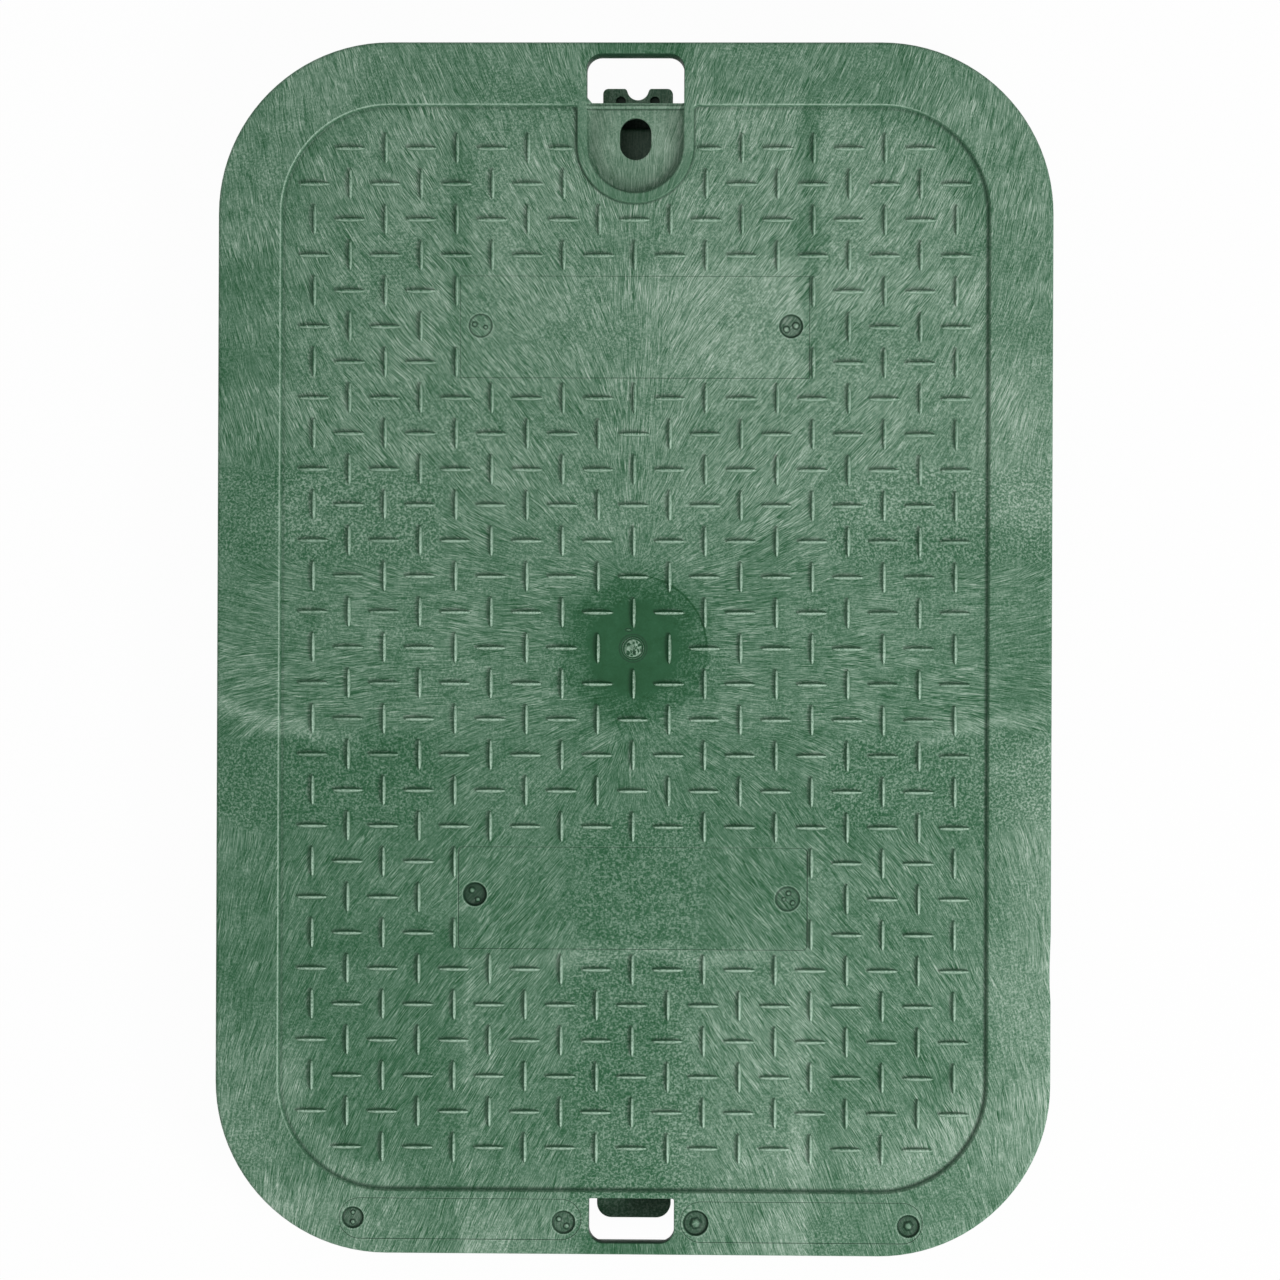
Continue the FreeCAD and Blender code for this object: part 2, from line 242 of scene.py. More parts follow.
class Shell:
    """The points and faces of a closed surface, in millimetres."""

    def __init__(self):
        self.points = []
        self.marks = []
        self.faces = []

    def path(self, outline, level, mark=PLAIN):
        """Adds a path whose level and mark are each one value or one for each of its points."""
        levels = level if isinstance(level, list) else [level] * len(outline)
        first = len(self.points)
        self.points += [(x, y, z) for (x, y), z in zip(outline, levels)]
        self.marks += mark if isinstance(mark, list) else [mark] * len(outline)
        return list(range(first, len(self.points)))

    def copy_path(self, path, level, mark=PLAIN, lean=0.0):
        """The same path at another level, with the points nearest the cover's ends leaned inwards."""
        outline = []
        for k in path:
            x, y, _ = self.points[k]
            outer = min(max((abs(y) - RING_FACE - 3.0) / 10.0, 0.0), 1.0)
            outline.append((x, y - math.copysign(lean * outer, y)))
        return self.path(outline, level, mark)

    def wall(self, lower, upper, closed=True):
        """A band of faces between two paths, facing right of their direction."""
        count = len(lower) if closed else len(lower) - 1
        for i in range(count):
            j = (i + 1) % len(lower)
            self.faces.append((lower[i], lower[j], upper[j], upper[i]))

    def skin(self, loops, lines=(), holes=(), up=True):
        """Triangles between closed loops and open lines, seen from above, leaving holes open."""
        closed = list(loops) + list(holes)
        used = sorted({k for path in closed + list(lines) for k in path})
        local = {k: place for place, k in enumerate(used)}
        flat = [Vector(self.points[k][:2]) for k in used]
        edges = [(local[a], local[b]) for path in closed for a, b in zip(path, path[1:] + path[:1])]
        edges += [(local[a], local[b]) for path in lines for a, b in zip(path, path[1:])]
        points, _, triangles, origins = delaunay_2d_cdt(flat, edges, [], 1, 1e-4)[:4]
        table = []
        for point, origin in zip(points, origins):
            if origin:
                table.append(used[origin[0]])
            else:
                near = min(used, key=lambda k: math.dist(self.points[k][:2], point))
                table += self.path([tuple(point)], self.points[near][2])
        xy = np.array([tuple(point) for point in points])
        tri = np.array(triangles)
        middle = xy[tri].mean(axis=1)
        keep = np.ones(len(tri), bool)
        for hole in holes:
            keep &= ~inside(middle, np.array([self.points[k][:2] for k in hole]))
        a, b, c = xy[tri[:, 0]], xy[tri[:, 1]], xy[tri[:, 2]]
        area = (b[:, 0] - a[:, 0]) * (c[:, 1] - a[:, 1]) - (b[:, 1] - a[:, 1]) * (c[:, 0] - a[:, 0])
        keep &= np.abs(area) > 1e-9
        for row, turn in zip(tri[keep], area[keep]):
            face = tuple(table[k] for k in row)
            self.faces.append(face if (turn > 0) == up else face[::-1])


def inside(points, outline):
    """Whether each point lies inside a closed outline."""
    found = np.zeros(len(points), bool)
    for (x0, y0), (x1, y1) in zip(outline, np.roll(outline, -1, axis=0)):
        crosses = (y0 > points[:, 1]) != (y1 > points[:, 1])
        with np.errstate(divide="ignore", invalid="ignore"):
            at = (x1 - x0) * (points[:, 1] - y0) / (y1 - y0) + x0
        found ^= crosses & (points[:, 0] < at)
    return found


def cover_outline(inset, steps=24):
    """The cover's rounded outline, moved in by inset."""
    x = HALF_WIDTH - inset
    y = HALF_LENGTH - inset
    corners = [(-x, -y), (x, -y), (x, y), (-x, y)]
    return spaced(rounded(corners, CORNER_RADIUS - inset, steps), 6.0)


def panel_outline(run):
    """The panel's outline, which stops round the U-shaped rim, moved towards the panel by run."""
    x = HALF_WIDTH - PANEL_INSET - run
    y = HALF_LENGTH - PANEL_INSET - run
    u = RIM_RADIUS + run * U_RUN_SHARE
    corner = CORNER_RADIUS - PANEL_INSET - run
    joint = JOINT_RADIUS
    corners = [(-x, -y), (x, -y), (x, y), (u, y), (u, RIM_CENTRE), (-u, RIM_CENTRE), (-u, y), (-x, y)]
    outline = rounded(corners, [corner, corner, corner, joint, 0, 0, joint, corner], 18)
    right = min(range(len(outline)), key=lambda k: math.dist(outline[k], (u, RIM_CENTRE)))
    bottom = arc((0, RIM_CENTRE), u, 0, -180, 30)[1:-1]
    return spaced(outline[:right + 1] + bottom + outline[right + 1:])


def facing_marks(outline, mark):
    """A mark for each point of a sunk outline's wall: painted highlight on its edge only where the wall faces the
    light, and painted shade that is strongest where it faces away.
    """
    marks = []
    for k, point in enumerate(outline):
        along = (Vector(outline[(k + 1) % len(outline)]) - Vector(outline[k - 1])).normalized()
        lit = min(max(along.x * WALL_LIGHT[1] - along.y * WALL_LIGHT[0], 0.0), 1.0)
        if abs(point[0]) < RIM_RADIUS + 2.0 and point[1] > RIM_CENTRE - RIM_RADIUS - 2.0:
            lit *= 0.25
        marks.append(mark * lit if mark < 0 else mark * (1.4 - 0.6 * lit))
    return marks


def pad_and_opening(shell, lines, loops):
    """The pad's dished wall and lip, the rim round it, and the lift opening's edge."""
    stations = (RING_FACE, RING_FACE - 0.25, RING_FACE - 0.65, RING_FACE - 0.95, RING_FACE - 1.5,
                RING_FACE - LIP_WIDTH + 0.15, RING_FACE - LIP_WIDTH - 0.2, RING_FACE - LIP_WIDTH - 0.6)
    # Marks across the lip: painted shade in its groove and at its foot, pale wear and painted highlight on its top
    station_marks = [-0.1, 0.0, 0.75, 0.1, WEAR_AND_HIGHLIGHT_MARK / 2, 0.1, 0.85, 0.1]
    sides = []
    for inset, level, mark in PAD_PROFILE:
        r = PAD_RADIUS - inset
        turn = arc((0, RIM_CENTRE), r, 0, -180, 30)
        outline = [(r, y) for y in stations] + turn + [(-r, y) for y in reversed(stations)]
        raised = max(level, LIP)
        round_off = 0.15 if raised == LIP else 0.0
        groove = 2 * round_off
        ends = [raised - round_off, raised, raised - groove, raised, raised, raised - round_off, level, level]
        path = shell.path(outline, ends + [level] * len(turn) + ends[::-1],
                          station_marks + [mark] * len(turn) + station_marks[::-1])
        lines.append(path)
        sides.append(path)
    rows = [[path[-1 - k] for path in sides] + [path[k] for path in reversed(sides)]
            for k in range(len(stations))]
    lines += rows[1:]

    far = OPENING_FAR
    corners = [(PAD_RADIUS, RING_FACE), (PAD_RADIUS, far), (-PAD_RADIUS, far), (-PAD_RADIUS, RING_FACE)]
    top = rounded(corners, [0, LIFT_CORNER, LIFT_CORNER, 0], 10)[1:-1]
    bevel = (-PAD_RADIUS, RING_FACE + LIFT_BEVEL[1])
    # The lift opening's rounded edge is painted shade
    frame_edge = shell.path(top + [bevel], TOP - 0.3, 0.75)
    bevel_foot = next(n for n, k in enumerate(rows[0]) if shell.points[k][0] > LIFT_BEVEL[0] - PAD_RADIUS - 0.05)
    hole = rows[0][bevel_foot:] + frame_edge
    lines.append([frame_edge[-1]] + rows[0][:bevel_foot + 1])

    turn = arc((0, RIM_CENTRE), PAD_RADIUS + 0.35, -180, 0, 30)
    outer = [(PAD_RADIUS + 0.35, RING_FACE), (PAD_RADIUS + 0.35, far + 0.35),
             (-PAD_RADIUS - 0.35, far + 0.35), (-PAD_RADIUS - 0.35, RING_FACE)]
    outer = rounded(outer, [0, LIFT_CORNER + 0.35, LIFT_CORNER + 0.35, 0], 10)
    loops.append(shell.path(turn + outer, TOP))
    return hole


def stadium(centre_y, half_straight, radius, steps=18):
    """A closed round-ended outline, long along Y."""
    return (arc((0, centre_y - half_straight), radius, 180, 360, steps)
            + arc((0, centre_y + half_straight), radius, 0, 180, steps))


def far_opening_edge(inset):
    """The far opening's outline, counter-clockwise, moved into the opening by inset."""
    x = FAR_HALF_WIDTH - inset
    corners = [(-x, -OPENING_FAR + inset), (x, -OPENING_FAR + inset),
               (x, -RING_FACE - FAR_SILL - inset), (-x, -RING_FACE - FAR_SILL - inset)]
    return rounded(corners, [FAR_CORNER - inset, FAR_CORNER - inset, 0.7, 0.7], 10)


def in_panel(x, y, half_x, half_y):
    """Whether a bar, with its margin, lies inside the panel's rounded outline."""
    inset = PANEL_INSET + 1.4 + BAR_MARGIN
    r = CORNER_RADIUS - inset
    past_x = abs(x) + half_x - (HALF_WIDTH - inset - r)
    past_y = abs(y) + half_y - (HALF_LENGTH - inset - r)
    if past_x > r or past_y > r:
        return False
    return past_x <= 0 or past_y <= 0 or math.hypot(past_x, past_y) <= r


def tread_places():
    """Each tread bar as its middle, whether it lies along X, and how far its rim end is cut."""
    places = []
    for i in range(-12, 13):
        for j in range(-17, 18):
            level_bar = (i + j) % 2 == 0
            x, y = i * PITCH, j * PITCH
            half_x, half_y = (BAR_HALF_LENGTH, BAR_HALF_WIDTH)[::1 if level_bar else -1]
            if not in_panel(x, y, half_x, half_y) or math.hypot(x, y) < BAR_HALF_LENGTH:
                continue
            if any(abs(x) - half_x < WINDOW_HALF_WIDTH - 0.9 and abs(y - middle) - half_y < WINDOW_HALF_HEIGHT - 1
                   for middle, *_ in WINDOWS):
                continue
            gap_y = max(RIM_CENTRE - y - half_y, 0)
            gap = math.hypot(max(abs(x) - half_x, 0), gap_y) - RIM_RADIUS
            if gap < -1.5:
                continue
            places.append((x, y, level_bar, max(1.35 - gap, 0) if gap < 0.5 else 0))
    return places


def bar_wear(x, y):
    """How much wear a bar's crest shows, which also weakens the painted shade on its flanks: least towards the lift
    opening and in the lower right corner.
    """
    towards_lift = min(max((y - 35.0) / 45.0, 0.0), 1.0)
    in_corner = min(max((x - y - 220.0) / 60.0, 0.0), 0.7) if y < 0 else 0.0
    return 1.0 - max(towards_lift, in_corner)


def add_bar(shell, x, y, level_bar, cut, loops, lines):
    """One tread bar: a slender foot, rounded flanks and a crest that runs out at both ends."""
    wear = bar_wear(x, y)
    strength = SIDE_MARK_SHARE if level_bar and abs(y) < 42.0 and abs(x) > 80.0 else 1.0
    painted_shade_share = strength * (PAINTED_SHADE_SHARES[0] + (PAINTED_SHADE_SHARES[1] - PAINTED_SHADE_SHARES[0]) * wear)
    side = 1 if x > 0 else -1
    half = BAR_HALF_LENGTH + (0.0 if cut else BAR_RUN_OUT) - cut / 2
    x += side * cut / 2

    def width(s):
        return BAR_HALF_WIDTH * (1 - s * s) ** 0.4

    def height(s):
        return BAR_HEIGHT * (1 - s * s) ** 0.35

    def put(points, levels, mark=PLAIN):
        placed = [(x + a, y + b) if level_bar else (x - b, y + a) for a, b in points]
        return shell.path(placed, [PANEL + z for z in levels], mark)

    steps = (-0.97, -0.82, -0.45, 0.0, 0.45, 0.82, 0.97)
    feet = [(-half, 0.0)] + [(s * half, -width(s)) for s in steps]
    feet += [(half, 0.0)] + [(s * half, width(s)) for s in reversed(steps)]
    loops.append(put(feet, [0.0] * len(feet)))
    inner = steps[1:-1]
    for share, rise, reach, lit, hidden in BAR_FLANKS:
        flank = [(-half * reach, 0.0)] + [(s * half, -share * width(s)) for s in inner]
        flank += [(half * reach, 0.0)] + [(s * half, share * width(s)) for s in reversed(inner)]
        ends = height(0.95) * rise
        tops = [rise * height(s) for s in inner]
        # Painted highlight on the flank towards the light, painted shade on the flank away from it
        lit_marks = [lit * strength * (1.0 if level_bar else 1.0 - 0.35 * s) for s in inner]
        hidden_marks = [hidden * painted_shade_share * (1.25 - 0.5 * s * s) for s in reversed(inner)]
        tip = BAR_TIP * strength * rise
        marks = [tip] + lit_marks + [tip if level_bar else hidden * 0.5] + hidden_marks
        loops.append(put(flank, [ends] + tops + [ends] + tops[::-1], marks))
    # The crest's pale mark is wear with painted highlight, brightest at the lower end of an upright bar
    crest = [(s * half, 0.0) for s in inner]
    crest_marks = [(FRESH_CREST * (1 - wear) + BAR_CREST * wear * (0.9 if level_bar else 0.9 - 0.3 * s)) * strength
                   for s in inner]
    lines.append(put(crest, [height(s) for s in inner], crest_marks))


def add_window(shell, middle, corner, side_strength, loops):
    """A smooth window, a hair lower than the panel, whose edge is its parting line."""
    for inset, drop, mark in PARTING_PROFILE:
        x = WINDOW_HALF_WIDTH - (inset * side_strength if inset > 0 else inset)
        y = WINDOW_HALF_HEIGHT - inset
        corners = [(-x, middle - y), (x, middle - y), (x, middle + y), (-x, middle + y)]
        turned = max(corner - inset, 0) if corner else 0
        outline = spaced(rounded(corners, turned, 5))
        marks = [mark * (side_strength if abs(point[0]) > x - 0.5 else 1.0) for point in outline]
        loops.append(shell.path(outline, PANEL - drop, marks))


def add_mark(shell, centre, level, radius, depth, floor_shade, bumps, loops, corners=12):
    """A round recess left by an insert screw, with small bumps on its floor."""
    floor = level - depth
    # Painted shade on the recess's rim, wall and floor, and a pale ring round it of wear and painted highlight
    rings = ((radius + 0.65, level, 0.0), (radius + 0.35, level + 0.03, WEAR_AND_HIGHLIGHT_MARK), (radius + 0.08, level, 0.4),
             (radius - 0.15, floor + 0.3 * depth, 0.9), (radius - 0.45, floor, floor_shade + 0.45),
             (radius - 0.9, floor, floor_shade))
    for r, z, mark in rings:
        loops.append(shell.path(circle(centre, r, 28), z, mark))
    for dx, dy, r, rise in bumps:
        place = (centre[0] + dx, centre[1] + dy)
        # Each bump: painted shade round its foot and flanks, pale wear and painted highlight on its top
        for share, part, mark in ((1.0, 0.0, floor_shade), (0.86, 0.1, 0.95), (0.62, 0.6, 0.8), (0.38, 0.95, WEAR_AND_HIGHLIGHT_MARK / 3)):
            loops.append(shell.path(circle(place, r * share, corners, 12), floor + part * rise, mark))
        loops.append(shell.path(circle(place, r * 0.1, 4), floor + rise, WEAR_AND_HIGHLIGHT_MARK / 2))


def add_gate(shell, loops):
    """The rough scar where the plastic was fed in: faint rings round a torn stub, and a nick by it."""
    chance = random.Random(11)
    # Faint rings: painted shade in their grooves and painted highlight on the raised one
    for radius, rise, mark in ((5.3, 0.0, 0.0), (4.95, -0.08, 0.8), (4.6, 0.0, 0.0), (4.4, 0.0, 0.1),
                               (4.05, -0.12, 1.0), (3.8, 0.05, -0.35), (3.6, 0.0, 0.2), (3.4, -0.12, 0.9)):
        loops.append(shell.path(circle((-0.2, 0.1), radius, 30), PANEL + rise, mark))
    for radius, rise in ((3.1, 0.1), (2.6, 0.3), (2.05, 0.32), (1.5, 0.25), (1.05, 0.3), (0.6, 0.28), (0.2, 0.3)):
        outline, levels, marks = [], [], []
        for step in range(24):
            a = step * math.tau / 24
            r = radius * (1 + 0.07 * math.sin(2 * a + 0.8) + 0.05 * math.sin(3 * a + 2.1))
            outline.append((r * math.cos(a), r * math.sin(a)))
            levels.append(PANEL + rise + chance.uniform(-0.16, 0.16))
            pitted = 0.4 < radius < 2.7 and chance.random() < (0.5 if math.cos(a + 0.9) > 0 else 0.16)
            marks.append(0.9 if pitted else WHITENED * chance.uniform(0.5, 1.0))
        loops.append(shell.path(outline, levels, marks))
    # The nick: painted shade in its hollow and painted highlight on its raised middle
    for scale, rise, mark in ((1.0, 0.0, 0.0), (0.82, -0.08, 0.95), (0.6, 0.06, 0.1), (0.3, 0.1, -0.3)):
        nick_edge = [(1.5 * scale * math.cos(a * math.tau / 12) - 1.8,
                      0.75 * scale * math.sin(a * math.tau / 12) + 6.6) for a in range(12)]
        loops.append(shell.path(nick_edge, PANEL + rise, mark))


# Round insert marks: middle, whether on the flange, radius, depth, painted shade on the floor, bumps (dx, dy, radius,
# rise), corners of a bump
INSERT_MARKS = (
    ((-54.9, 114.7), False, 4.2, 0.15, 0.0, ((-2.1, 0.5, 1.2, 0.4), (1.8, -0.5, 1.0, 0.5)), 12),
    ((55.6, 114.7), False, 4.2, 0.85, 0.45, ((-1.7, -1.1, 1.55, 0.6), (1.7, 0.2, 1.6, 0.75)), 12),
    ((-56.2, -87.7), False, 4.2, 1.5, 0.8, ((-1.05, 1.4, 1.5, 0.8), (1.0, -1.9, 1.2, 0.8)), 12),
    ((55.1, -88.8), False, 4.4, 0.22, 0.25, ((0.3, 2.0, 1.2, 0.5), (-1.3, -0.1, 1.0, 0.4), (1.8, -1.4, 1.2, 0.5)), 12),
    ((-99.2, -202.9), True, 3.85, 1.1, 0.55, ((0.0, 1.75, 1.1, 0.7), (0.0, -1.6, 1.2, 0.9)), 12),
    ((-24.1, -204.1), True, 4.1, 0.8, 0.5, ((-1.7, 1.1, 1.3, 0.6), (1.1, -1.4, 1.4, 0.6)), 12),
    ((22.9, -204.1), True, 4.5, 1.2, 0.62, ((0.0, -0.1, 2.6, 1.1),), 6),
    ((98.4, -204.7), True, 4.0, 1.1, 0.62, ((0.0, 0.1, 2.2, 1.0),), 6),
)

# Inserts in the far flange: low and high X, low and high Y
INSERT_LINE = 1.3
FLANGE_INSERTS = ((-104.4, -17.6, -210.6, -195.6), (17.2, 103.6, -211.2, -196.2))


def add_flange_insert(shell, x0, x1, y0, y1, loops):
    """The faint edge of a round-ended insert in the flange."""
    for inset, drop, mark in PARTING_PROFILE:
        corners = [(x0 + inset, y0 + inset), (x1 - inset, y0 + inset),
                   (x1 - inset, y1 - inset), (x0 + inset, y1 - inset)]
        radius = (y1 - y0) / 2 - inset - 0.01
        loops.append(shell.path(spaced(rounded(corners, radius, 12)), TOP - drop, mark * INSERT_LINE))


def nick(outline):
    """The outline with the small nick in its right-hand edge."""
    moved = []
    for x, y in outline:
        t = (y + 114.0) / 9.0
        depth = 0.55 * (1 - t * t) if x > 0 and abs(t) < 1 and abs(x) > HALF_WIDTH - 4 else 0.0
        moved.append((x - depth, y))
    return moved


def add_top(shell):
    """The tread side. Gives back the outer edge and the edges of the three holes."""
    loops, lines = [], []
    edge = None
    for turn in (0, 22.5, 45, 67.5, 90):
        a = math.radians(turn)
        outline = cover_outline(EDGE_RADIUS * (1 - math.cos(a)))
        level = TOP - EDGE_RADIUS * (1 - math.sin(a))
        path = shell.path(nick(outline), level)
        edge = edge or path
        loops.append(path)
    for run, level, mark in PANEL_PROFILE:
        outline = panel_outline(run)
        loops.append(shell.path(outline, level, facing_marks(outline, mark)))
    lift_hole = pad_and_opening(shell, lines, loops)
    loops.append(shell.path(stadium(SLOT_CENTRE, SLOT_STRAIGHT, SLOT_RADIUS + 0.45), PAD))
    slot_hole = shell.path(stadium(SLOT_CENTRE, SLOT_STRAIGHT, SLOT_RADIUS), PAD - 0.3)
    loops.append(shell.path(far_opening_edge(-0.35), TOP))
    # The far opening's rounded edge is painted shade
    far_hole = shell.path(far_opening_edge(0.0), TOP - 0.25, 0.6)
    for place in tread_places():
        add_bar(shell, *place, loops, lines)
    for middle, corner, side_strength in WINDOWS:
        add_window(shell, middle, corner, side_strength, loops)
    for centre, on_flange, radius, depth, floor_shade, bumps, corners in INSERT_MARKS:
        level = (TOP if on_flange else PANEL) - PARTING_STEP
        add_mark(shell, centre, level, radius, depth, floor_shade, bumps, loops, corners)
    for x0, x1, y0, y1 in FLANGE_INSERTS:
        add_flange_insert(shell, x0, x1, y0, y1, loops)
    add_gate(shell, loops)
    shell.skin(loops, lines, [lift_hole, slot_hole, far_hole])
    return edge, lift_hole, slot_hole, far_hole


def bay_outlines():
    """The corners and corner radii of each bay between the ribs, at the ribs' feet."""
    ring_x = HALF_WIDTH - RING_INSET - RING_THICKNESS + RING_DRAFT - 0.3
    ring_y = ring_x - HALF_WIDTH + HALF_LENGTH
    inside_length = 2 * (HALF_LENGTH - RING_INSET - RING_THICKNESS)
    columns = [-ring_x] + [k * LONG_RIB_SPACING for k in (-1, 0, 1)] + [ring_x]
    rows = [-ring_y] + [inside_length * ((k + 1) / (CROSS_RIBS + 1) - 0.5) for k in range(CROSS_RIBS)] + [ring_y]
    corner = CORNER_RADIUS - (HALF_WIDTH - ring_x)
    cell_x = SLOT_RADIUS + CELL_GAP + CELL_WALL
    cell_y = SLOT_CENTRE - SLOT_STRAIGHT - SLOT_RADIUS - CELL_GAP - CELL_WALL
    bays = []
    for c in range(len(columns) - 1):
        for r in range(len(rows) - 1):
            x0 = columns[c] + (RIB_FOOT_HALF if c else 0)
            x1 = columns[c + 1] - (RIB_FOOT_HALF if c < len(columns) - 2 else 0)
            y0 = rows[r] + (RIB_FOOT_HALF if r else 0)
            y1 = rows[r + 1] - (RIB_FOOT_HALF if r < len(rows) - 2 else 0)
            corners = [(x0, y0), (x1, y0), (x1, y1), (x0, y1)]
            on_ring = [(x0 == -ring_x, y0 == -ring_y), (x1 == ring_x, y0 == -ring_y),
                       (x1 == ring_x, y1 == ring_y), (x0 == -ring_x, y1 == ring_y)]
            radii = [corner if all(pair) else BAY_CORNER for pair in on_ring]
            if y1 == ring_y and c == 1:
                corners = [(x0, y0), (x1, y0), (x1, cell_y), (-cell_x, cell_y), (-cell_x, y1), (x0, y1)]
                radii = [BAY_CORNER] * 6
            if y1 == ring_y and c == 2:
                corners = [(x0, y0), (x1, y0), (x1, y1), (cell_x, y1), (cell_x, cell_y), (x0, cell_y)]
                radii = [BAY_CORNER] * 6
            bays.append((corners, radii))
    return bays


def add_underside(shell):
    """The underside. Gives back its loops and its outer edge."""
    loops = []
    ring_foot = RING_INSET + RING_DRAFT
    inner_foot = RING_INSET + RING_THICKNESS - RING_DRAFT
    bands = (
        (0.0, SKIRT_FOOT + 0.4), (0.15, SKIRT_FOOT + 0.1), (0.45, SKIRT_FOOT),
        (SKIRT_THICKNESS - 0.4, SKIRT_FOOT), (SKIRT_THICKNESS - 0.2, SKIRT_FOOT + 0.25),
        (SKIRT_THICKNESS, CEILING), (RING_INSET, CEILING), (ring_foot, 0.35), (ring_foot + 0.3, 0.0),
        (inner_foot - 0.25, 0.0), (inner_foot, 0.3), (inner_foot + 0.06, RIB_FOOT),
    )
    for inset, level in bands:
        loops.append(shell.path(cover_outline(inset), level))
    edge = loops[0]
    for corners, radii in bay_outlines():
        for inset, level in BAY_PROFILE:
            turned = [r - inset if r > 3 else r for r in radii]
            outline = rounded(inset_corners(corners, inset), turned, 5 if max(turned) < 3 else 16)
            loops.append(shell.path(spaced(outline), level))
    cell_x = SLOT_RADIUS + CELL_GAP + CELL_WALL - 0.35
    cell_y = SLOT_CENTRE - SLOT_STRAIGHT - SLOT_RADIUS - CELL_GAP - CELL_WALL + 0.35
    far_y = HALF_LENGTH - inner_foot - 0.6
    bottom = [(-cell_x, cell_y), (cell_x, cell_y), (cell_x, far_y), (-cell_x, far_y)]
    loops.append(shell.path(rounded(bottom, 1.5, 4), CELL_FLOOR - CELL_WALL))
    return loops, edge


def add_cell(shell, slot_hole):
    """The slot's wall and the inside of the bolt cell below it."""
    # The slot's wall and the cell's inside carry painted shade
    mouth = shell.copy_path(slot_hole, PANEL_UNDERSIDE, CELL_SHADE)
    shell.wall(slot_hole, mouth)
    x = SLOT_RADIUS + CELL_GAP
    near = SLOT_CENTRE - SLOT_STRAIGHT - x
    far = RING_FACE - RING_THICKNESS
    ledge = CELL_LEDGE_Y
    ceiling = shell.path([(-x, near), (x, near), (x, far), (-x, far)], PANEL_UNDERSIDE, CELL_SHADE)
    shell.skin([ceiling], holes=[mouth], up=False)
    section = ((near, PANEL_UNDERSIDE), (near, CELL_LEDGE), (ledge - CELL_BEVEL, CELL_LEDGE),
               (ledge, CELL_LEDGE - CELL_BEVEL), (ledge, CELL_FLOOR), (far, CELL_FLOOR), (far, PANEL_UNDERSIDE))
    sides = []
    for side, first, last in ((-x, 0, 3), (x, 1, 2)):
        low_part = shell.path([(side, y) for y, _ in section[1:-1]], [z for _, z in section[1:-1]], CELL_SHADE)
        sides.append([ceiling[first]] + low_part + [ceiling[last]])
    left, right = sides
    shell.wall(right, left, closed=False)
    for side, order in ((left, 1), (right, -1)):
        upper = (side[0], side[1], side[2], side[3], side[6])[::order]
        lower = (side[3], side[4], side[5], side[6])[::order]
        shell.faces += [upper, lower]


def add_plate(shell, outline, bottom, top, mark, pockets=(), pocket_depth=3.0, lead_in=0.0):
    """A flat plate with rounded edges, its own closed outline and blind round pockets."""
    round_off = 0.3
    inner = shrunk(outline, round_off)
    low_flat = shell.path([(x, max(y, min(p[1] for p in outline) + lead_in)) for x, y in inner], bottom)
    low_edge = shell.path(outline, bottom + round_off + lead_in * 0.6)
    top_edge = shell.path(outline, top - round_off, mark)
    top_flat = shell.path(inner, top, mark)
    shell.wall(low_flat, low_edge)
    shell.wall(low_edge, top_edge)
    shell.wall(top_edge, top_flat)
    shell.skin([low_flat], up=False)
    holes = []
    for centre, radius in pockets:
        rim = shell.path(circle(centre, radius, 20), top, mark)
        # The pockets' floors are painted shade
        floor = shell.path(circle(centre, radius - 0.15, 20), top - pocket_depth, PAINTED_SHADE_MARK)
        shell.wall(rim, floor)
        shell.skin([floor])
        holes.append(rim)
    shell.skin([top_flat], holes=holes)


def add_latch(shell):
    """The lobed latch under the lift opening."""
    tip = RING_FACE + LATCH_REACH
    root = RING_FACE - RING_THICKNESS / 2
    notch = arc((0, tip - 0.2), 3.9, 0, -180, 14)
    right = rounded([(LATCH_HALF_WIDTH, root), (LATCH_HALF_WIDTH, tip), (3.9, tip), (3.9, root)],
                    [0, 1.9, 1.0, 0], 6)[1:-1]
    left = [(-x, y) for x, y in reversed(right)]
    outline = [(-LATCH_HALF_WIDTH, root), (LATCH_HALF_WIDTH, root)] + right + notch[1:-1] + left
    pockets = [((side * 6.1, tip - 4.5), 1.8) for side in (1, -1)]
    add_plate(shell, outline, LATCH_TOP - LATCH_THICKNESS, LATCH_TOP, LATCH_SHADE, pockets)


def add_tongue(shell):
    """The tongue under the far opening, eased along its lower edge."""
    tip = -RING_FACE - TONGUE_REACH
    root = -RING_FACE + RING_THICKNESS / 2
    x = TONGUE_HALF_WIDTH
    outline = rounded([(-x, tip), (x, tip), (x, root), (-x, root)], [5.2, 5.2, 0, 0], 10)
    add_plate(shell, outline, LATCH_TOP - TONGUE_THICKNESS, LATCH_TOP, TONGUE_SHADE, lead_in=1.2)


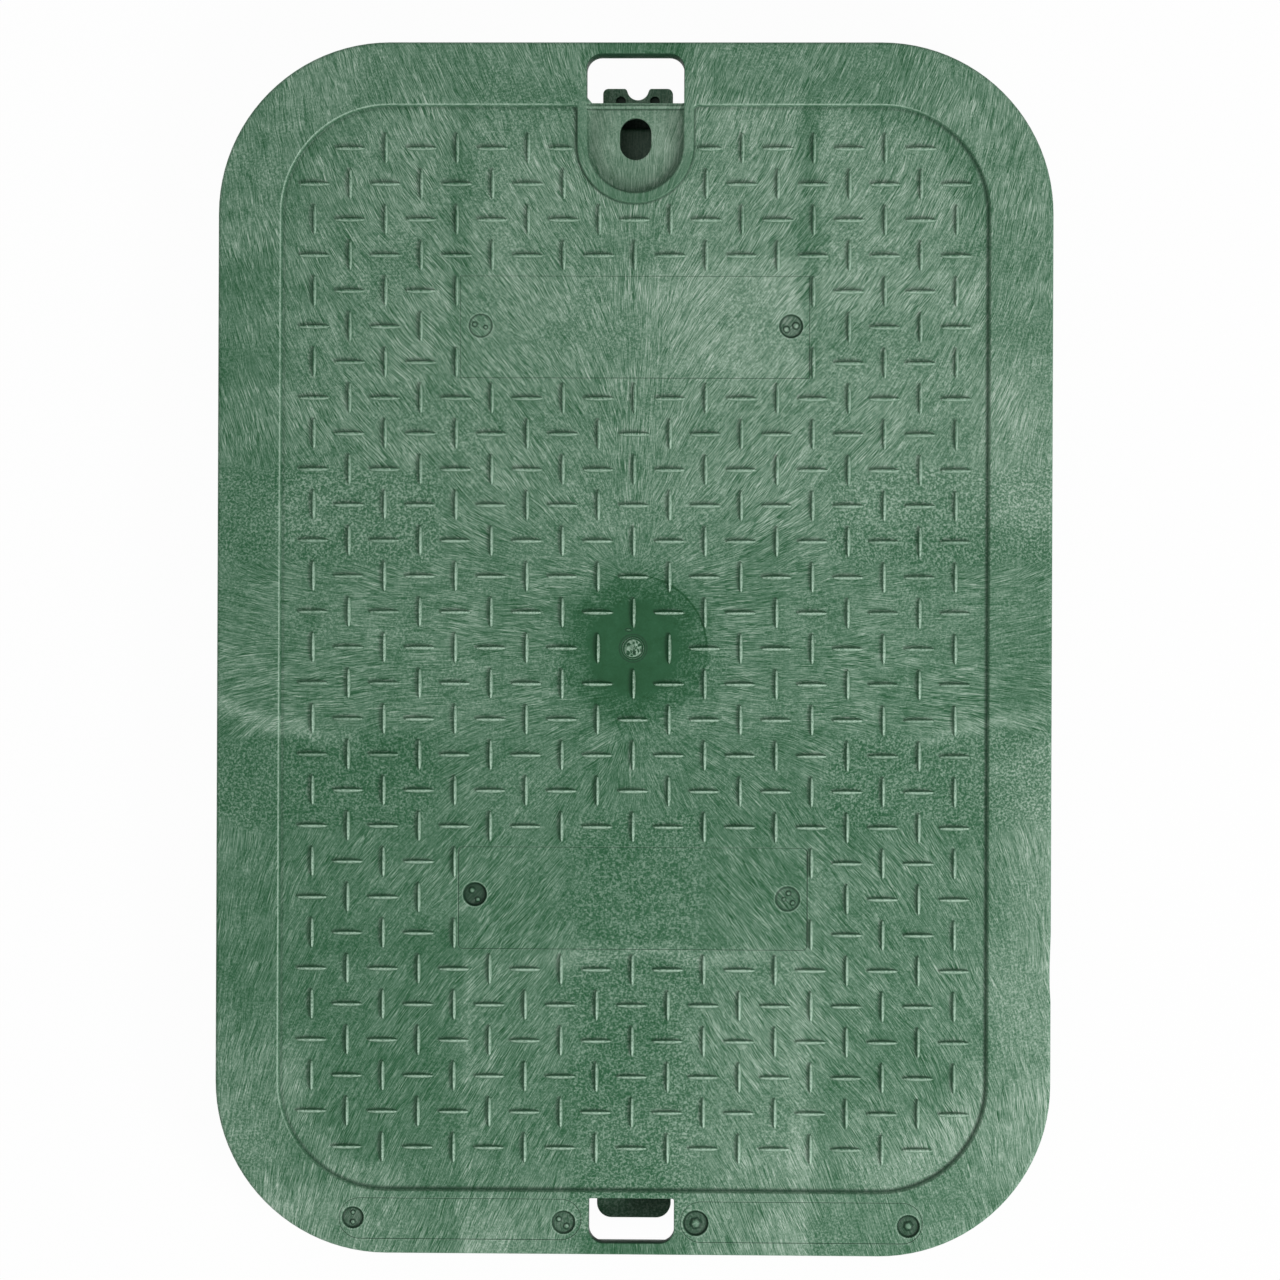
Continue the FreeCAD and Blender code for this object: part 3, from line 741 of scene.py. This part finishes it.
def build_cover():
    """The whole moulding as one mesh object."""
    shell = Shell()
    edge, lift_hole, slot_hole, far_hole = add_top(shell)
    loops, low_edge = add_underside(shell)
    shell.wall(low_edge, edge)
    low_holes = []
    for hole, draft in ((lift_hole, LIFT_DRAFT), (far_hole, FAR_DRAFT)):
        # The openings' walls are painted shade
        low = shell.copy_path(hole, CEILING, PAINTED_SHADE_MARK * 0.8, lean=draft)
        middle = shell.copy_path(hole, (TOP + CEILING) / 2, PAINTED_SHADE_MARK, lean=draft * 0.7)
        shell.wall(hole, middle)
        shell.wall(middle, low)
        low_holes.append(low)
    shell.skin(loops, holes=low_holes, up=False)
    add_cell(shell, slot_hole)
    add_latch(shell)
    add_tongue(shell)

    mesh = bpy.data.meshes.new("cover_moulding")
    mesh.from_pydata([tuple(c * MM for c in point) for point in shell.points], [], shell.faces)
    mesh.validate()
    mark = mesh.attributes.new("mark", "FLOAT", "POINT")
    mark.data.foreach_set("value", shell.marks)
    mesh.polygons.foreach_set("use_smooth", [True] * len(mesh.polygons))
    mesh.set_sharp_from_angle(angle=math.radians(48))
    mesh.update()
    cover = bpy.data.objects.new("cover_moulding", mesh)
    bpy.context.collection.objects.link(cover)
    weighted = cover.modifiers.new("weighted_normals", "WEIGHTED_NORMAL")
    weighted.keep_sharp = True
    weighted.weight = 80
    return cover


def shade(red, green, blue):
    """An sRGB colour, 0 to 255, as the linear colour that a shader takes."""
    return tuple(((c / 255 + 0.055) / 1.055) ** 2.4 for c in (red, green, blue)) + (1.0,)


class Graph:
    """Shader nodes written as plain calls, each giving back an output socket."""

    def __init__(self, material):
        material.use_nodes = True
        self.tree = material.node_tree
        self.tree.nodes.clear()

    def node(self, kind, **settings):
        made = self.tree.nodes.new("ShaderNode" + kind)
        for name, value in settings.items():
            setattr(made, name, value)
        return made

    def feed(self, socket, value):
        if isinstance(value, bpy.types.NodeSocket):
            self.tree.links.new(value, socket)
        else:
            socket.default_value = value

    def sum(self, operation, a, b=0.0, c=0.0):
        made = self.node("Math", operation=operation)
        for socket, value in zip(made.inputs, (a, b, c)):
            self.feed(socket, value)
        return made.outputs[0]

    def times(self, a, b):
        return self.sum("MULTIPLY", a, b)

    def plus(self, a, b):
        return self.sum("ADD", a, b)

    def vector(self, operation, a, b=None, result="Vector"):
        made = self.node("VectorMath", operation=operation)
        self.feed(made.inputs[0], a)
        if b is not None:
            self.feed(made.inputs["Scale" if operation == "SCALE" else 1], b)
        return made.outputs[result]

    def joined(self, x, y, z=0.0):
        made = self.node("CombineXYZ")
        for socket, value in zip(made.inputs, (x, y, z)):
            self.feed(socket, value)
        return made.outputs[0]

    def parts(self, vector):
        made = self.node("SeparateXYZ")
        self.feed(made.inputs[0], vector)
        return made.outputs

    def blend(self, value, low, high, to_low=0.0, to_high=1.0, smooth=True):
        """The value carried from one range to another, held at both ends."""
        made = self.node("MapRange", interpolation_type="SMOOTHSTEP" if smooth else "LINEAR")
        for socket, given in zip(made.inputs, (value, low, high, to_low, to_high)):
            self.feed(socket, given)
        return made.outputs[0]

    def noise(self, coords, scale, detail=2.0, roughness=0.5, distortion=0.0):
        made = self.node("TexNoise")
        self.feed(made.inputs["Vector"], coords)
        for name, value in (("Scale", scale), ("Detail", detail), ("Roughness", roughness),
                            ("Distortion", distortion)):
            made.inputs[name].default_value = value
        return made.outputs[0]

    def curve(self, value, points):
        """The value looked up on a soft line through the points, level beyond its ends."""
        made = self.node("FloatCurve")
        mapping = made.mapping
        mapping.use_clip = False
        mapping.extend = "HORIZONTAL"
        line = mapping.curves[0].points
        line[0].location = points[0]
        line[1].location = points[-1]
        for place in points[1:-1]:
            line.new(*place)
        for knot in line:
            knot.handle_type = "AUTO_CLAMPED"
        mapping.update()
        self.feed(made.inputs["Value"], value)
        return made.outputs[0]

    def band(self, value, low, high, soft):
        """One between low and high, nought outside, with soft ends."""
        reach = soft / 2
        return self.curve(value, ((low - reach, 0), (low + reach, 1), (high - reach, 1), (high + reach, 0)))

    def streak(self, place, start, end, half_width, amount):
        """A soft line of the given amount from start to end."""
        along = (Vector(end) - Vector(start)).normalized()
        length = (Vector(end) - Vector(start)).length
        off = self.vector("SUBTRACT", place, (*start, 0.0))
        u = self.vector("DOT_PRODUCT", off, (along.x, along.y, 0.0), "Value")
        v = self.vector("DOT_PRODUCT", off, (-along.y, along.x, 0.0), "Value")
        ends = self.curve(u, ((-3.0, 0.0), (3.0, amount), (length * 0.4, amount), (length, 0.0)))
        return self.times(self.curve(v, ((-2 * half_width, 0.0), (0.0, 1.0), (2 * half_width, 0.0))), ends)

    def total(self, values):
        """The sum of the values, each added as soon as its own nodes are made."""
        result = None
        for value in values:
            result = value if result is None else self.plus(result, value)
        return result

    def either(self, share, first, second):
        made = self.node("Mix", data_type="FLOAT")
        for socket, value in zip((made.inputs[0], made.inputs[2], made.inputs[3]), (share, first, second)):
            self.feed(socket, value)
        return made.outputs[0]

    def mixed(self, share, first, second):
        made = self.node("Mix", data_type="RGBA")
        self.feed(made.inputs[0], share)
        self.feed(made.inputs[6], first)
        self.feed(made.inputs[7], second)
        return made.outputs[2]


# Bands of paler and darker tone: low and high Y, softness, then tone along X
TONE_BANDS = (
    (-217, -197, 9, ((-122, 0), (-112, -0.3), (-66, -0.3), (-58, 0.4), (-48, 0.4), (-40, 0), (44, 0), (52, 0.5),
                     (61, 0.45), (68, -0.15), (104, -0.15), (114, 0))),
    (-193, -107, 12, ((-158, -0.45), (-128, -0.45), (-122, -0.55), (-62, -0.5), (-59, 0.0), (-56, -0.25), (-50, -0.32),
                      (8, -0.32), (22, -0.08), (54, 0.0), (59, 0.4), (64, 0.1), (70, -0.28), (118, -0.25),
                      (129, 0.1), (142, 0.38), (158, 0.4))),
    (-107, -32, 12, ((-158, -0.25), (-138, -0.4), (-128, -0.5), (-70, -0.48), (-58, -0.38), (56, -0.42), (70, -0.25),
                     (120, -0.25), (130, 0.0), (142, 0.35), (158, 0.35))),
    (-30, 38, 20, ((-158, -0.25), (-134, -0.38), (-116, -0.18), (-62, -0.18), (-47, -0.36), (-34, -0.2),
                   (34, -0.2), (47, -0.36), (62, -0.18), (116, -0.18), (136, -0.3), (158, -0.05))),
    (42, 100, 22, ((-158, -0.38), (-134, -0.36), (-116, 0), (-2, 0), (12, 0.15), (122, 0.2), (134, 0.4),
                   (158, 0.4))),
    (98, 135, 14, ((-158, -0.4), (-134, -0.35), (-120, 0), (-66, 0), (-58, 0.08), (-2, 0.1), (14, 0.35),
                   (56, 0.42), (63, 0.1), (70, 0.12), (120, 0.12), (132, -0.05))),
    (122, 193, 8, ((-136, -0.15), (-124, -0.18), (-100, 0.0), (-85, 0.1), (-69, 0.1), (-63, -0.3), (-61, -0.3),
                   (-56, 0.08), (0, 0.12), (14, 0.25), (56, 0.25),
                   (60.5, -0.3), (64, -0.3), (69, 0.3), (120, 0.3), (130, 0))),
    (-192, -166, 16, ((-66, 0), (0, 0.08), (20, 0.22), (60, 0.22), (70, 0.0), (82, 0.22), (122, 0.25),
                      (130, 0))),
    (195, 217, 10, ((-98, 0), (-84, -0.18), (-24, -0.2), (-20, 0), (20, 0), (28, -0.2), (94, -0.2), (106, 0))),
)
# Painted shade and light against the distance from a corner's centre, upper left to lower right: darker round the
# upper corners, paler round the lower ones
CORNER_LIGHT_AND_SHADE = (
    (((30, 0), (35, -0.2), (37, -0.2), (40, 0)), ((27, 0), (34, -0.45), (37, -0.45), (40, 0))),
    (((27, 0), (33, 0.5), (36, 0.5), (40, 0.28), (44, 0.32), (50, 0.5), (62, 0.5), (70, 0.3)),
     ((23, 0), (31, 0.55), (36, 0.55), (40, 0))),
)
# Pale lines where two flow fronts met: start, end, half-width, tone
FLOW_FRONTS = (
    ((-150, -20), (-95, -37), 2.0, 0.85), ((150, -22), (90, -35), 1.8, 0.6),
    ((-30, -108), (75, -109), 2.4, 0.7), ((64, -106), (64, -60), 1.5, 0.4),
)
# Layers of strokes: cell size, length, width, spread of angle, seed, amount
STROKE_LAYERS = ((5.0, 4.0, 0.32, 0.55, 1, 1.1), (8.0, 7.5, 0.34, 0.4, 2, 1.2), (15.0, 15.0, 0.37, 0.3, 3, 1.15))
MOSS_CONTRAST = ((0.32, -1.0), (0.43, -0.65), (0.50, -0.15), (0.57, 0.5), (0.68, 1.15))
STROKE_CONTRAST = ((0.30, -0.95), (0.40, -0.4), (0.49, 0.0), (0.58, 0.42), (0.68, 1.0))
# Painted shade on the flange by the openings' outer edges
OPENING_SHADE = -0.6
RIM_TONES = ((142.0, -0.6), (165.0, -0.35), (180.0, 0.0))
PAD_RUBBING = 0.2
PAD_TONES = ((165.0, -0.3), (178.0, 0.25))
GATE_INSERT_RADIUS = 26.0
GATE_TONE = -1.1
BASE_TONE = 0.13
GRAIN_TONE = 0.5


def flow_angle(graph, x, y):
    """The direction of the flow strokes: level beside the gate, slanting off to the four corners."""
    away_x = graph.sum("ABSOLUTE", x)
    away_y = graph.sum("ABSOLUTE", y)
    lean = graph.curve(away_y, ((24.0, 0.05), (62.0, 1.1), (140.0, 1.15), (200.0, 2.2)))
    centre_line = graph.sum("DIVIDE", 190.0, graph.plus(graph.times(away_x, away_x), 6.0))
    wall = graph.sum("POWER", graph.times(away_x, 1 / 122), 7.0)
    steeper = graph.total([1.0, centre_line, wall])
    side = graph.sum("SIGN", graph.times(x, y))
    return graph.sum("ARCTANGENT", graph.times(graph.times(lean, steeper), side))


def flow_strokes(graph, flat, size, length, width, spread, seed):
    """Short strokes along the flow, drawn cell by cell and fading at each cell's edge."""
    shifted = graph.vector("ADD", flat, (seed * 31.7, seed * 17.3, 0.0))
    cells = graph.node("TexVoronoi", voronoi_dimensions="2D", feature="F1")
    graph.feed(cells.inputs["Vector"], shifted)
    cells.inputs["Scale"].default_value = 1 / size
    cells.inputs["Randomness"].default_value = 1.0
    local = graph.vector("SUBTRACT", shifted, cells.outputs["Position"])
    middle_x, middle_y, _ = graph.parts(graph.vector("SUBTRACT", flat, local))
    chance = graph.parts(cells.outputs["Color"])
    jitter = graph.times(graph.plus(chance[0], -0.5), spread)
    angle = graph.plus(flow_angle(graph, middle_x, middle_y), jitter)
    turned = graph.node("VectorRotate", rotation_type="Z_AXIS")
    graph.feed(turned.inputs["Vector"], local)
    graph.feed(turned.inputs["Angle"], graph.times(angle, -1.0))
    drawn = graph.node("VectorMath", operation="MULTIPLY_ADD")
    graph.feed(drawn.inputs[0], turned.outputs[0])
    drawn.inputs[1].default_value = (1 / length, 1 / width, 1.0)
    graph.feed(drawn.inputs[2], graph.vector("SCALE", cells.outputs["Color"], 57.0))
    grain = graph.noise(drawn.outputs[0], 1.0, 1.5, 0.6)
    reach = graph.vector("LENGTH", local, result="Value")
    fade = graph.blend(reach, 0.3 * size, 0.8 * size, 1.0, 0.35)
    return graph.times(graph.curve(grain, STROKE_CONTRAST), fade)


def tone_shares(graph, x, y, bent_x, bent_y):
    """The tone that the bands add, then the painted light and shade of the corners and of the openings' edges, one
    after another.
    """
    for low, high, soft, stops in TONE_BANDS:
        yield graph.times(graph.curve(bent_x, stops), graph.band(bent_y, low, high, soft))
    away_x = graph.sum("ABSOLUTE", x)
    away_y = graph.sum("ABSOLUTE", y)
    opening_shade = graph.times(graph.curve(away_x, ((16.0, OPENING_SHADE), (23.0, 0.0))),
                             graph.curve(away_y, ((205.0, 0.0), (210.5, 1.0))))
    yield opening_shade
    off_x = graph.plus(away_x, CORNER_RADIUS - HALF_WIDTH)
    off_y = graph.plus(away_y, CORNER_RADIUS - HALF_LENGTH)
    radius = graph.vector("LENGTH", graph.joined(off_x, off_y), result="Value")
    right = graph.sum("GREATER_THAN", x, 0.0)
    tones = [graph.either(right, *(graph.curve(radius, stops) for stops in row)) for row in CORNER_LIGHT_AND_SHADE]
    corner = graph.either(graph.sum("GREATER_THAN", y, 0.0), tones[1], tones[0])
    reach = graph.times(graph.blend(off_x, -22.0, 6.0), graph.blend(off_y, -30.0, 6.0))
    yield graph.times(corner, reach)


def green_plastic():
    """Structural-foam polyethylene: swirled green with pale strokes along the flow."""
    material = bpy.data.materials.new("green_plastic")
    graph = Graph(material)
    solid = graph.vector("SCALE", graph.node("TexCoord").outputs["Object"], 1 / MM)
    x, y, z = graph.parts(solid)
    flat = graph.joined(x, y)
    mark = graph.node("Attribute", attribute_name="mark").outputs["Fac"]

    wander = graph.node("TexNoise")
    graph.feed(wander.inputs["Vector"], solid)
    wander.inputs["Scale"].default_value = 1 / 14
    wander.inputs["Detail"].default_value = 3.0
    wander.inputs["Roughness"].default_value = 0.65
    push = graph.vector("MULTIPLY", graph.vector("SUBTRACT", wander.outputs["Color"], (0.5, 0.5, 0.5)),
                        (13.0, 13.0, 0.0))
    bent = graph.vector("ADD", push, flat)
    bent_x, bent_y, _ = graph.parts(bent)
    from_gate = graph.vector("LENGTH", graph.vector("ADD", graph.vector("SCALE", push, 0.55), flat), result="Value")
    true_radius = graph.vector("LENGTH", flat, result="Value")

    hair = graph.total(graph.times(flow_strokes(graph, flat, *sizes), amount) for *sizes, amount in STROKE_LAYERS)
    moss = graph.curve(graph.noise(solid, 1 / 0.8, 1.5, 0.6, 0.6), MOSS_CONTRAST)
    bent_away = graph.sum("ABSOLUTE", bent_x)
    mossy = graph.total((
        graph.times(graph.band(bent_away, 72, 150, 12), graph.band(graph.sum("ABSOLUTE", bent_y), 33, 61, 10)),
        graph.times(graph.curve(bent_away, ((14.0, 0.8), (28.0, 0.0))), graph.band(bent_y, -205, -60, 14)),
        graph.curve(graph.noise(solid, 1 / 30, 2.0, 0.6), ((0.40, 0.12), (0.64, 0.6))),
        graph.curve(from_gate, ((25.0, 0.35), (35.0, 0.0))),
    ))
    facing_up = graph.sum("ABSOLUTE", graph.parts(graph.node("TexCoord").outputs["Normal"])[2])
    upright = graph.blend(facing_up, 0.75, 0.45)
    mossy = graph.sum("MAXIMUM", graph.sum("MINIMUM", mossy, 0.92), upright)
    fibre = graph.times(graph.either(mossy, hair, moss), graph.plus(1.0, graph.times(upright, -0.45)))

    below = graph.sum("MINIMUM", graph.plus(y, -RIM_CENTRE), 0.0)
    u_radius = graph.vector("LENGTH", graph.joined(x, below), result="Value")
    on_rim = graph.times(graph.band(u_radius, PAD_RADIUS, RIM_RADIUS + 0.1, 0.6), graph.band(y, 145, 197, 12))
    on_pad = graph.times(graph.curve(u_radius, ((PAD_RADIUS - 2.0, 1.0), (PAD_RADIUS, 0.0))),
                         graph.band(y, 152, 196, 6))

    clouds = graph.times(graph.plus(graph.noise(solid, 1 / 26, 3.0, 0.65), -0.5), 1.1)
    mottle = graph.times(graph.plus(graph.noise(solid, 1 / 5.0, 2.0, 0.65), -0.5), 0.9)
    rim_tone = graph.times(on_rim, graph.curve(y, RIM_TONES))
    pad_tone = graph.times(on_pad, graph.curve(y, PAD_TONES))
    ground = graph.total((rim_tone, pad_tone, graph.total(tone_shares(graph, x, y, bent_x, bent_y))))
    fronts = graph.total(graph.streak(bent, *front) for front in FLOW_FRONTS)
    calm = graph.times(graph.curve(from_gate, ((15.0, 0.1), (19.5, 0.9), (28.0, 1.0))),
                       graph.blend(ground, -1.1, 0.1, 0.65, 1.0))
    calm = graph.times(calm, graph.plus(1.0, graph.times(on_rim, -0.5)))
    calm = graph.times(calm, graph.plus(1.0, graph.times(on_pad, -0.35)))
    fibre = graph.times(fibre, calm)
    line = graph.curve(true_radius, ((GATE_INSERT_RADIUS - 0.5, 0.0), (GATE_INSERT_RADIUS, -1.1),
                                     (GATE_INSERT_RADIUS + 0.5, 0.0)))
    line_side = graph.times(graph.blend(x, -12.0, 12.0), graph.blend(y, -16.0, 10.0, 0.25, 1.0))
    disc = graph.curve(from_gate, ((15.0, GATE_TONE), (19.5, GATE_TONE * 0.7), (24.5, GATE_TONE * 0.55),
                                   (27.5, GATE_TONE * 0.22), (38.0, 0.0)))
    grain = graph.noise(solid, 1 / 0.75, 2.0, 0.6)
    speck = graph.times(graph.plus(grain, -0.5), GRAIN_TONE)
    tone = graph.total((BASE_TONE, fibre, clouds, mottle, speck, disc, graph.times(line, line_side), ground, fronts))

    ramp = graph.node("ValToRGB")
    graph.feed(ramp.inputs[0], graph.blend(tone, -2.0, 2.0, smooth=False))
    stops = ((0.0, shade(4, 68, 28)), (0.25, shade(36, 91, 57)), (0.5, shade(86, 124, 99)),
             (0.75, shade(133, 162, 141)), (1.0, shade(178, 198, 182)))
    elements = ramp.color_ramp.elements
    elements[0].position, elements[0].color = stops[0]
    elements[1].position, elements[1].color = stops[-1]
    for position, colour in stops[1:-1]:
        elements.new(position).color = colour
    rubbed = graph.times(on_pad, graph.blend(u_radius, 6.0, 15.0, 0.1, PAD_RUBBING))
    colour = graph.mixed(rubbed, ramp.outputs[0], shade(92, 97, 88))
    # The mark paints shade above nought, and pale wear, whitening and highlight below it, broken by the grain
    painted_shade = graph.blend(mark, 0.0, 1.0, smooth=False)
    colour = graph.mixed(painted_shade, colour, shade(23, 55, 37))
    speckle = graph.blend(grain, 0.3, 0.62, 0.35, 1.0)
    wear_and_highlight = graph.times(graph.blend(graph.times(mark, -1.0), 0.0, 1.0, smooth=False), speckle)
    colour = graph.mixed(wear_and_highlight, colour, shade(182, 211, 190))

    shader = graph.node("BsdfPrincipled")
    graph.feed(shader.inputs["Base Color"], colour)
    rough = graph.plus(0.50, graph.times(mottle, 0.16))
    graph.feed(shader.inputs["Roughness"], rough)
    shader.inputs["Specular IOR Level"].default_value = 0.3

    relief = graph.plus(graph.times(grain, 0.1), graph.times(mottle, 0.05))
    bump = graph.node("Bump")
    bump.inputs["Strength"].default_value = 0.6
    bump.inputs["Distance"].default_value = 0.0006
    graph.feed(bump.inputs["Height"], relief)
    graph.feed(shader.inputs["Normal"], bump.outputs[0])
    output = graph.node("OutputMaterial")
    graph.feed(output.inputs["Surface"], shader.outputs[0])
    return material


def white_floor():
    """A pale floor that shows white to the camera and keeps a soft shadow."""
    material = bpy.data.materials.new("white_floor")
    graph = Graph(material)
    path = graph.node("LightPath").outputs
    seen = graph.sum("MAXIMUM", path["Is Camera Ray"],
                     graph.sum("MAXIMUM", path["Is Glossy Ray"], path["Is Transmission Ray"]))
    plain = graph.node("BsdfDiffuse")
    plain.inputs["Color"].default_value = (0.75, 0.75, 0.74, 1.0)
    glow = graph.node("Emission")
    glow.inputs["Strength"].default_value = 1.0
    mix = graph.node("MixShader")
    graph.feed(mix.inputs[0], graph.times(seen, 0.97))
    graph.feed(mix.inputs[1], plain.outputs[0])
    graph.feed(mix.inputs[2], glow.outputs[0])
    output = graph.node("OutputMaterial")
    graph.feed(output.inputs["Surface"], mix.outputs[0])
    return material


def add_floor():
    """The floor that the cover lies on."""
    side = 3.0
    mesh = bpy.data.meshes.new("floor")
    mesh.from_pydata([(-side, -side, 0), (side, -side, 0), (side, side, 0), (-side, side, 0)], [], [(0, 1, 2, 3)])
    mesh.materials.append(white_floor())
    floor = bpy.data.objects.new("floor", mesh)
    bpy.context.collection.objects.link(floor)


def add_light(name, place, aim, size, strength):
    """A square area light that gives the named share of plain white where it aims."""
    light = bpy.data.lights.new(name, "AREA")
    light.shape = "SQUARE"
    light.size = size
    distance = (Vector(place) - Vector(aim)).length
    light.energy = strength * math.pi ** 2 * distance ** 2 / max(Vector(place).normalized().z, 0.2)
    lamp = bpy.data.objects.new(name, light)
    lamp.location = place
    lamp.rotation_euler = (Vector(place) - Vector(aim)).to_track_quat("Z", "Y").to_euler()
    bpy.context.collection.objects.link(lamp)


def add_lights():
    """A key from the lower right of the picture and soft fill from above."""
    add_light("key", (0.95, -0.75, 1.05), (0, 0, 0.03), 0.55, 0.42)
    add_light("fill", (-0.5, 0.5, 1.9), (0, 0, 0.03), 1.4, 0.12)
    world = bpy.data.worlds.new("studio")
    world.use_nodes = True
    backdrop = world.node_tree.nodes["Background"]
    backdrop.inputs["Color"].default_value = (1.0, 1.0, 1.0, 1.0)
    backdrop.inputs["Strength"].default_value = 0.42
    bpy.context.scene.world = world


def add_camera():
    """The camera straight above the cover, a hair off its axis, as the photo was taken."""
    camera = bpy.data.cameras.new("camera")
    camera.sensor_width = 36.0
    camera.lens = 174.25
    camera.clip_end = 20.0
    turn = Vector((math.radians(0.0283), math.radians(-2.1688), math.radians(-0.22)))
    seen = Matrix.Rotation(turn.length, 4, turn).transposed()
    eye = bpy.data.objects.new("camera", camera)
    eye.matrix_world = Matrix.Translation((0.08566, 0.00427, 2.232)) @ seen
    bpy.context.collection.objects.link(eye)
    bpy.context.scene.camera = eye


# Build and dress the part
cover = build_cover()
cover.data.materials.append(green_plastic())
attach(cover, "root")
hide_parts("cover")

add_floor()
add_lights()
add_camera()
bpy.context.scene.view_settings.view_transform = "Standard"
